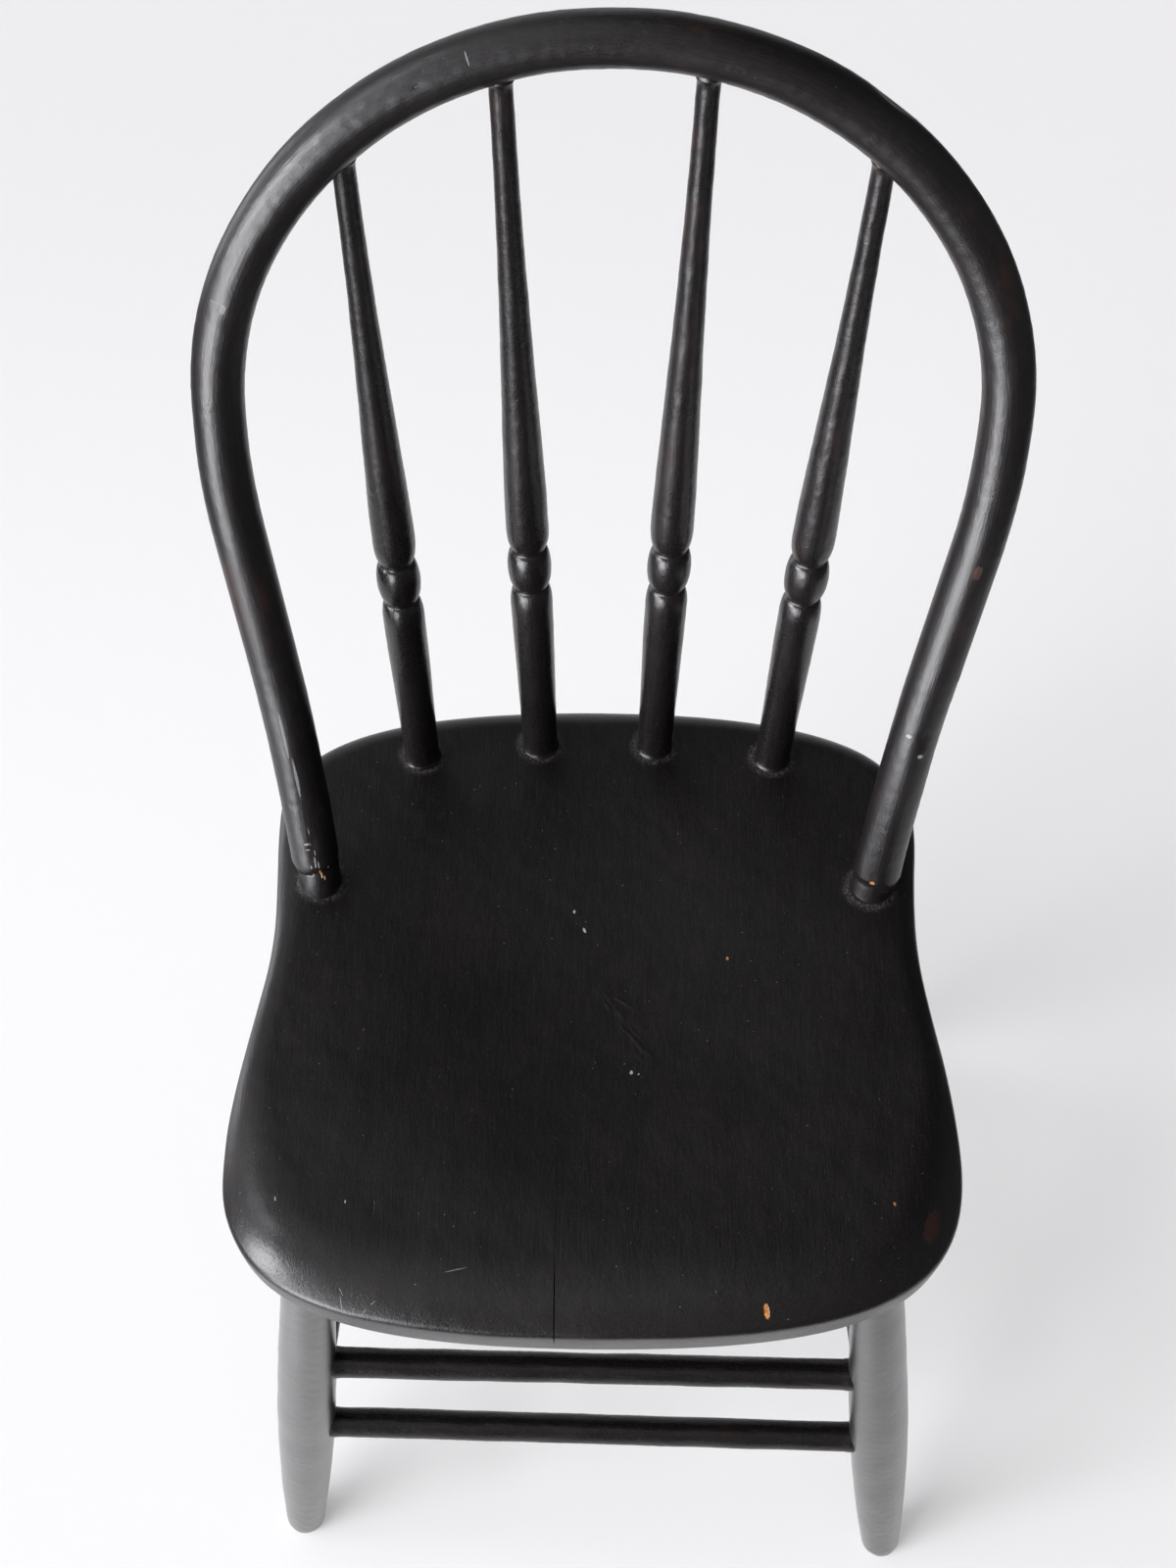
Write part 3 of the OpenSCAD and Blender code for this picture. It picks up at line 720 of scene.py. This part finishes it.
BLACK = (0.0045, 0.0036, 0.0038, 1)
RED_UNDERCOAT = (0.036, 0.012, 0.008, 1)
BARE_WOOD = (0.50, 0.21, 0.045, 1)
STAINED_WOOD = (0.20, 0.075, 0.018, 1)
DUST = (0.23, 0.215, 0.20, 1)
PALE_SCUFF = (0.34, 0.33, 0.33, 1)
RUB = (0.0150, 0.0126, 0.0130, 1)
COAT_ROUGHNESS = 0.32
COAT_IOR = 1.6

# Each kind of damage: colour, how much it covers, roughness, depth and raggedness
DAMAGE = {
    "chip": (BARE_WOOD, 1.0, 0.62, -0.25 * MM, 0.35),
    "undercoat": (RED_UNDERCOAT, 0.85, 0.5, -0.08 * MM, 0.7),
    "nick": (BLACK, 0.6, 0.6, -0.6 * MM, 0.3),
    "scratch": (PALE_SCUFF, 0.30, 0.55, -0.05 * MM, 0.5),
    "ding": (PALE_SCUFF, 0.55, 0.5, -0.25 * MM, 0.6),
    "scuff": (PALE_SCUFF, 0.5, 0.5, 0.10 * MM, 1.0),
    "fleck": (PALE_SCUFF, 1.0, 0.6, 0.1 * MM, 0.3),
}


def damage(recipe, bench, ragged_noise, kind, centre, reach, turn):
    """Mask of one mark. centre and reach are in bench coordinates."""
    off = bench - tuple(c * MM for c in centre)
    if turn:
        off = recipe.node("VectorRotate", {"rotation_type": "AXIS_ANGLE"}, {
            "Vector": off, "Axis": (0, 1, 0), "Angle": math.radians(turn)})
    distance = (off / tuple(r * MM for r in reach)).length()
    ragged = DAMAGE[kind][4]
    return 1 - (distance + (ragged_noise - 0.5) * 2 * ragged).between(0.8, 1.15)


def ring_round_foot(bench, foot, radius):
    """Mask of the uneven ring of paint on the seat round one foot."""
    gap = ((bench - (foot[0], 0.0, foot[1])) * (1, 0, 1)).length() - radius
    return gap.between(-0.5 * MM, 1.0 * MM) * (1 - gap.between(1.2 * MM, 6.0 * MM))


def add_grime(recipe, bench, ragged, feet_of, layers):
    """Puts grime and built-up paint round each foot on the seat. layers are the
    paint's colour, roughness and height."""
    colour, roughness, height = layers
    for foot, radius in feet_of:
        ring = ring_round_foot(bench, foot, radius)
        grime = ring * ragged.between(0.42, 0.66)
        colour = recipe.mix(grime * 0.22, colour, DUST)
        roughness = roughness + grime * 0.2
        height = height + ring * (ragged - 0.5) * (0.35 * MM)
    return colour, roughness, height


def add_marks(recipe, bench, ragged, marks, dullness, layers):
    """Puts each mark on the paint's layers, one over another."""
    colour, roughness, height = layers
    for kind, centre, reach, turn in marks:
        shade, cover, dull, depth, _ = DAMAGE[kind]
        mask = damage(recipe, bench, ragged, kind, centre, reach, turn)
        if kind == "chip":
            shade = recipe.mix(ragged.between(0.35, 0.65), shade, STAINED_WOOD)
        colour = recipe.mix(mask * cover, colour, shade)
        roughness = roughness + mask * (dull - dullness)
        height = height + mask * depth
    return colour, roughness, height


def painted(name, seed, marks=(), streak=1.0, rings=0.0, thin=0.35, dust=0.25, feet_of=(),
            ior=1.5, coat=0.0, dullness=0.37):
    """Old satin black paint over wood. marks are (kind, centre, reach, turn), streak
    is the depth of the brush marks, rings that of the lathe's marks in mm, thin and
    dust how much undercoat and dust show, and feet_of the feet with grime round them."""
    material = bpy.data.materials.new(name)
    material.use_nodes = True
    recipe = Recipe(material.node_tree)
    bench = recipe.node("Attribute", {"attribute_name": "bench"}, {}, "Vector")
    place = bench + (seed * 0.37, seed * 0.19, seed * 0.53)

    brush = recipe.noise(place * (1, 1, 0.05), 1.0 * MM, 3, 0.65)
    peel = recipe.noise(place, 1.5 * MM, 3, 0.6)
    lumps = recipe.noise(place * (1, 1, 0.5), 8 * MM, 3, 0.55)
    cloud = recipe.noise(place, 55 * MM, 3, 0.6)
    ragged = recipe.noise(place, 1.6 * MM, 4, 0.7)
    grain = recipe.noise(place * (1, 1, 0.3), 0.55 * MM, 2, 0.7)
    nibs = 1 - recipe.specks(place, 6 * MM).between(0.03, 0.11)

    height = ((brush - 0.5) * (0.11 * MM * streak) + (peel - 0.5) * (0.07 * MM)
              + (grain - 0.5) * (0.04 * MM) + (lumps - 0.5) * (0.24 * MM) + nibs * (0.06 * MM))
    if rings:
        lathe = recipe.noise(place * (0.08, 0.08, 1), 1.7 * MM, 3, 0.65)
        height = height + (lathe - 0.5) * (rings * MM)

    worn = (cloud * 0.6 + lumps * 0.4).between(0.55, 0.72) * thin
    colour = recipe.mix(worn, BLACK, RED_UNDERCOAT)
    rub = (brush * 0.5 + grain * 0.5).between(0.46, 0.64) * (0.15 + cloud * 0.7)
    colour = recipe.mix(rub, colour, RUB)
    speck = recipe.specks(place * (1, 1, 0.7), 5.0 * MM)
    dusty = (1 - speck.between(0.03, 0.07)) * ragged.between(0.44, 0.58) * dust
    colour = recipe.mix(dusty, colour, DUST)
    roughness = (dullness + (cloud - 0.5) * 0.16 + (peel - 0.5) * 0.10
                 + (grain - 0.5) * 0.14 + dusty * 0.2)

    layers = add_grime(recipe, bench, ragged, feet_of, (colour, roughness, height))
    colour, roughness, height = add_marks(recipe, bench, ragged, marks, dullness, layers)

    normal = recipe.node("Bump", {}, {"Strength": 1.0, "Distance": 1.0, "Height": height})
    surface = recipe.node("BsdfPrincipled", {}, {
        "Base Color": colour, "Roughness": roughness, "Normal": normal, "IOR": ior,
        "Coat Weight": coat, "Coat Roughness": COAT_ROUGHNESS, "Coat IOR": COAT_IOR})
    recipe.node("OutputMaterial", {}, {"Surface": surface})
    return material


# Marks -------------------------------------------------------------------------

def on_rod(diameter, marks):
    """Marks on a rod, given as kind, angle from its front, distance along and reach."""
    radius = diameter / 2 / MM
    return [(kind, (radius * math.cos(math.radians(angle)), radius * math.sin(math.radians(angle)), at),
             reach, 0) for kind, angle, at, reach in marks]


# Marks on the seat, in mm: kind, centre as x from the middle, height and y from the
# front edge, reach the same way, and turn in degrees
ANY_HEIGHT = 30.0
EDGE_CHIP = ("chip", (-52, 0, 0), (2.2, ANY_HEIGHT, 1.0), 0)
SEAT_MARKS = [
    ("chip", (92, 0, 12.5), (1.6, ANY_HEIGHT, 3.4), 12),
    ("chip", (161, 0, 70), (0.7, ANY_HEIGHT, 1.3), 20),
    ("undercoat", (181, 0, 60), (4, ANY_HEIGHT, 9), -20),
    ("nick", (-116, 0, 65), (0.7, ANY_HEIGHT, 3.4), 0),
    ("nick", (-168, 0, 71), (0.5, ANY_HEIGHT, 1.6), 10),
    ("fleck", (-168.6, 0, 70), (0.3, ANY_HEIGHT, 1.4), 10),
    ("fleck", (-131, 0, 68), (0.4, ANY_HEIGHT, 0.9), 0),
    ("scratch", (-71, 0, 30), (6, ANY_HEIGHT, 0.35), 12),
    ("scratch", (-131, 0, 16), (0.22, ANY_HEIGHT, 4), 8),
    ("scratch", (-131, 0, 21), (0.2, ANY_HEIGHT, 2), 30),
    ("scratch", (-119, 0, 12), (0.22, ANY_HEIGHT, 2), -50),
    ("scratch", (-114, 0, 15.5), (0.2, ANY_HEIGHT, 1.6), -60),
    EDGE_CHIP,
    ("fleck", (-12, 0, 254), (0.7, ANY_HEIGHT, 1.1), 0),
    ("fleck", (-6, 0, 242), (0.8, ANY_HEIGHT, 1.7), 25),
    ("fleck", (21, 0, 150), (0.9, ANY_HEIGHT, 1.3), 0),
    ("fleck", (25, 0, 149), (0.4, ANY_HEIGHT, 0.6), 0),
    ("chip", (75, 0, 223), (0.7, ANY_HEIGHT, 1.2), 0),
]

# Marks on the bow, in mm: the flaked paint over its left foot, the chips on that
# foot's tenon, and the knocks and scratches from there round to its right foot
FOOT_SCUFFS = [
    ("scuff", 6, 30, (0.35, 0.35, 5)),
    ("scuff", -5, 22, (1.8, 1.8, 0.8)),
    ("scuff", 4, 21, (0.45, 0.45, 2.2)),
    ("scuff", -4, 18, (1.2, 1.2, 0.5)),
    ("scuff", 12, 17, (0.4, 0.4, 4)),
    ("scuff", 9, 9, (0.5, 0.5, 5)),
    ("scuff", 16, 6, (0.35, 0.35, 3.5)),
    ("scuff", -2, 5, (0.5, 0.5, 1.2)),
]
TENON_CHIPS = [
    ("chip", 14, -1, (0.8, 0.8, 2.0)),
    ("chip", 22, -6, (0.45, 0.45, 1.6)),
    ("fleck", 16, -4, (0.4, 0.4, 1.6)),
]
BOW_KNOCKS = [
    ("fleck", 40, 2, (0.6, 0.6, 0.8)),
    ("scratch", -6, 100, (0.8, 0.8, 16)),
    ("scratch", 2, 70, (0.8, 0.8, 14)),
    ("scratch", -18, 363, (4.5, 4.5, 0.5)),
    ("scratch", -10, 361, (0.5, 2, 2.5)),
    ("scratch", -27, 539, (3.5, 3.5, 0.4)),
    ("nick", -14, 513, (1.0, 1.0, 1.6)),
    ("ding", 26, 1110, (1.8, 1.8, 1.6)),
    ("ding", -14, 1122, (1.6, 1.6, 1.3)),
    ("undercoat", -60, 1069, (3, 3, 4)),
    ("undercoat", -1, 999, (2.5, 2.5, 4)),
    ("chip", 18, 1216, (1.6, 1.6, 1.1)),
]
BOW_MARKS = on_rod(BOW_D, FOOT_SCUFFS) + on_rod(TENON_D, TENON_CHIPS) + on_rod(BOW_D, BOW_KNOCKS)

# Pits in the left front leg, in mm
LEG_PITS = [
    ("nick", 20, 136, (1.6, 1.6, 0.7)),
    ("nick", -4, 118, (2.2, 2.2, 0.7)),
    ("nick", 24, 115, (1.5, 1.5, 0.9)),
    ("nick", 6, 108, (1.4, 1.4, 0.6)),
    ("nick", -2, 90, (2.4, 2.4, 0.8)),
]


# Pieces ------------------------------------------------------------------------

def finish_piece(piece, node_name, material):
    piece.data.materials.clear()
    piece.data.materials.append(material)
    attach(piece, "root")
    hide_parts(node_name)


def make_seat():
    blank = seat_blank()
    feet_of = [foot for hand in SIDES for foot in feet_on_seat(hand)]
    top = painted("seat_black", 1, SEAT_MARKS, streak=0.9, thin=0.12, dust=0.8, feet_of=feet_of,
                  ior=1.46, dullness=0.31)
    edge = painted("seat_edge_black", 3, [EDGE_CHIP], streak=0.7, dust=0.6, ior=1.9, coat=1.0)
    for hand in SIDES:
        piece, name = seat_board(hand, blank)
        finish_piece(piece, name, top)
        piece.data.materials.append(edge)


def make_back():
    material = painted("bow_black", 2, BOW_MARKS, streak=1.1, thin=0.5, dullness=0.35)
    finish_piece(bow(), "bow", material)
    seed = 20
    for hand in SIDES:
        for x, place in ((INNER_SPINDLE_X, "inner"), (OUTER_SPINDLE_X, "outer")):
            name = f"spindle_{place}_{SIDES[hand]}"
            material = painted(name + "_black", seed, streak=0.7, dullness=0.29)
            finish_piece(spindle(hand, x, name, seed), name, material)
            seed += 2


def make_legs():
    seed = 40
    for end in ("front", "back"):
        for hand in SIDES:
            name = f"leg_{end}_{SIDES[hand]}"
            ior = 1.9 if hand == LEFT else 1.6
            marks = on_rod(LEG_BELLY_D, LEG_PITS) if name == "leg_front_left" else ()
            material = painted(name + "_black", seed, marks, streak=0.5, rings=0.07, dust=0.5,
                               ior=ior, coat=1.0)
            finish_piece(leg(end, hand, name, seed), name, material)
            seed += 2


def make_stretchers():
    rods = [(f"stretcher_front_{place}", leg_at("front", LEFT, height), leg_at("front", RIGHT, height),
             FORWARD) for place, height in FRONT_STRETCHER_HEIGHTS.items()]
    rods.append(("stretcher_back", leg_at("back", LEFT, BACK_STRETCHER_HEIGHT),
                 leg_at("back", RIGHT, BACK_STRETCHER_HEIGHT), FORWARD))
    for hand in SIDES:
        outward = (float(hand), 0.0, 0.0)
        for place, height in SIDE_STRETCHER_HEIGHTS.items():
            rods.append((f"stretcher_{SIDES[hand]}_{place}", leg_at("front", hand, height),
                         leg_at("back", hand, height), outward))
    for seed, (name, a, b, facing) in enumerate(rods, 60):
        material = painted(name + "_black", seed, streak=1.2, ior=1.38, dullness=0.28)
        finish_piece(stretcher(a, b, facing, name, seed * 3), name, material)


# Studio ------------------------------------------------------------------------

FLOOR_CORNERS = [(-0.8, -0.62, 0), (0.8, -0.62, 0), (1.0, 2.4, 0), (-1.0, 2.4, 0)]
# Floor colours with painted light and shade: the lit one in front and to the left, the shaded one to the
# back and right
FLOOR_PAINTED_LIT = (0.99, 0.987, 0.987, 1)
FLOOR_PAINTED_SHADED = (0.855, 0.845, 0.849, 1)
FLOOR_OWN_LIGHT = 0.30


def studio_floor():
    """A sheet of pale paper whose colour carries painted light: brightest in front and towards the
    window on the left.
    """
    mesh = bpy.data.meshes.new("studio_floor")
    mesh.from_pydata(FLOOR_CORNERS, [], [(0, 1, 2, 3)])
    floor = bpy.data.objects.new("studio_floor", mesh)
    bpy.context.scene.collection.objects.link(floor)
    material = bpy.data.materials.new("studio_floor")
    material.use_nodes = True
    recipe = Recipe(material.node_tree)
    place = recipe.node("TexCoord", {}, {}, "Object")
    right = place.dot((1.0, 0.25, 0.0)).between(-0.75, 0.85)
    back = place.dot((0.0, 1.0, 0.0)).between(0.2, 1.3)
    # Painted fall of light: the floor's colour darkens towards the back and, a little, towards the right
    colour = recipe.mix(right * 0.12 + back * 0.88, FLOOR_PAINTED_LIT, FLOOR_PAINTED_SHADED)
    lit = recipe.node("BsdfPrincipled", {}, {"Base Color": colour, "Roughness": 0.8,
                                             "Specular IOR Level": 0.2})
    own = recipe.node("Emission", {}, {"Color": colour, "Strength": 1.0})
    rays = recipe.node("LightPath", {}, {}, "Is Camera Ray").most(
        recipe.node("LightPath", {}, {}, "Is Glossy Ray"))
    surface = recipe.node("MixShader", {}, {0: rays * FLOOR_OWN_LIGHT, 1: lit, 2: own})
    recipe.node("OutputMaterial", {}, {"Surface": surface})
    mesh.materials.append(material)


def bearing(azimuth, elevation):
    """A direction in degrees: azimuth is 0 straight behind the chair, positive towards
    +X and negative towards -X, and elevation is up from level."""
    azimuth, elevation = math.radians(azimuth), math.radians(elevation)
    return (math.sin(azimuth) * math.cos(elevation), math.cos(azimuth) * math.cos(elevation),
            math.sin(elevation))


# Patches of light around the chair: azimuth, elevation, radius of the full and of the
# faded part in degrees, and radiance
GLOW = [
    (-142, -8, 12, 24, 15.0), (-114, 15, 8, 17, 22.0), (-86, 43, 4, 9, 9.0), (-58, -6, 6, 18, 3.5),
    (-100, 45, 30, 62, 0.7), (180, 40, 15, 40, 0.2), (-10, 6, 20, 40, 0.6), (100, 10, 20, 45, 0.12),
]
DIM_ROOM = 0.08
LIGHT_COLOUR = (0.965, 0.965, 1.0, 1)
PALE_BACKDROP = (0.9, 0.9, 0.9, 1)


def studio_air():
    """Room light: a window low on the left, a pale ceiling in front, dim elsewhere."""
    world = bpy.data.worlds.new("studio_air")
    bpy.context.scene.world = world
    world.use_nodes = True
    recipe = Recipe(world.node_tree)
    way = recipe.node("TexCoord", {}, {}, "Generated")
    strength = None
    for azimuth, elevation, full, faded, radiance in GLOW:
        nearness = way.dot(bearing(azimuth, elevation))
        patch = nearness.between(math.cos(math.radians(faded)), math.cos(math.radians(full))) * radiance
        strength = patch if strength is None else strength + patch
    strength = strength + DIM_ROOM
    seen = recipe.node("LightPath", {}, {}, "Is Camera Ray")
    lit = recipe.node("Background", {}, {"Color": LIGHT_COLOUR, "Strength": strength})
    shown = recipe.node("Background", {}, {"Color": PALE_BACKDROP, "Strength": 1.0})
    both = recipe.node("MixShader", {}, {0: seen, 1: lit, 2: shown})
    recipe.node("OutputWorld", {}, {"Surface": both})


def key_light():
    """A broad soft sun from the window's side, for the shadows on the floor."""
    lamp = bpy.data.lights.new("key_light", "SUN")
    lamp.energy = 1.0
    lamp.angle = math.radians(22)
    holder = bpy.data.objects.new("key_light", lamp)
    holder.rotation_euler = Vector(bearing(-134, 32)).to_track_quat("Z", "Y").to_euler()
    holder.visible_glossy = False
    bpy.context.scene.collection.objects.link(holder)


CAMERA_PLACE = (0.0013, -0.7392, 1.6889)
CAMERA_ANGLES = (55.461, -0.936, -0.282)
CAMERA_LENS = 79.06


def camera():
    """A standing person's view down onto the chair: angles are pitch, yaw and roll."""
    pitch, yaw, roll = (math.radians(angle) for angle in CAMERA_ANGLES)
    ahead = Vector((math.sin(yaw) * math.cos(pitch), math.cos(yaw) * math.cos(pitch), -math.sin(pitch)))
    level = Vector((math.cos(yaw), -math.sin(yaw), 0))
    up = level.cross(ahead)
    side = level * math.cos(roll) + up * math.sin(roll)
    top = up * math.cos(roll) - level * math.sin(roll)
    lens = bpy.data.cameras.new("camera")
    lens.sensor_fit = "HORIZONTAL"
    lens.sensor_width = 36
    lens.lens = CAMERA_LENS
    lens.clip_end = 60
    holder = bpy.data.objects.new("camera", lens)
    turn = Matrix((side, top, -ahead)).transposed().to_4x4()
    holder.matrix_world = Matrix.Translation(CAMERA_PLACE) @ turn
    bpy.context.scene.collection.objects.link(holder)
    bpy.context.scene.camera = holder


make_seat()
make_back()
make_legs()
make_stretchers()
studio_floor()
studio_air()
key_light()
camera()
bpy.context.scene.view_settings.view_transform = "Standard"
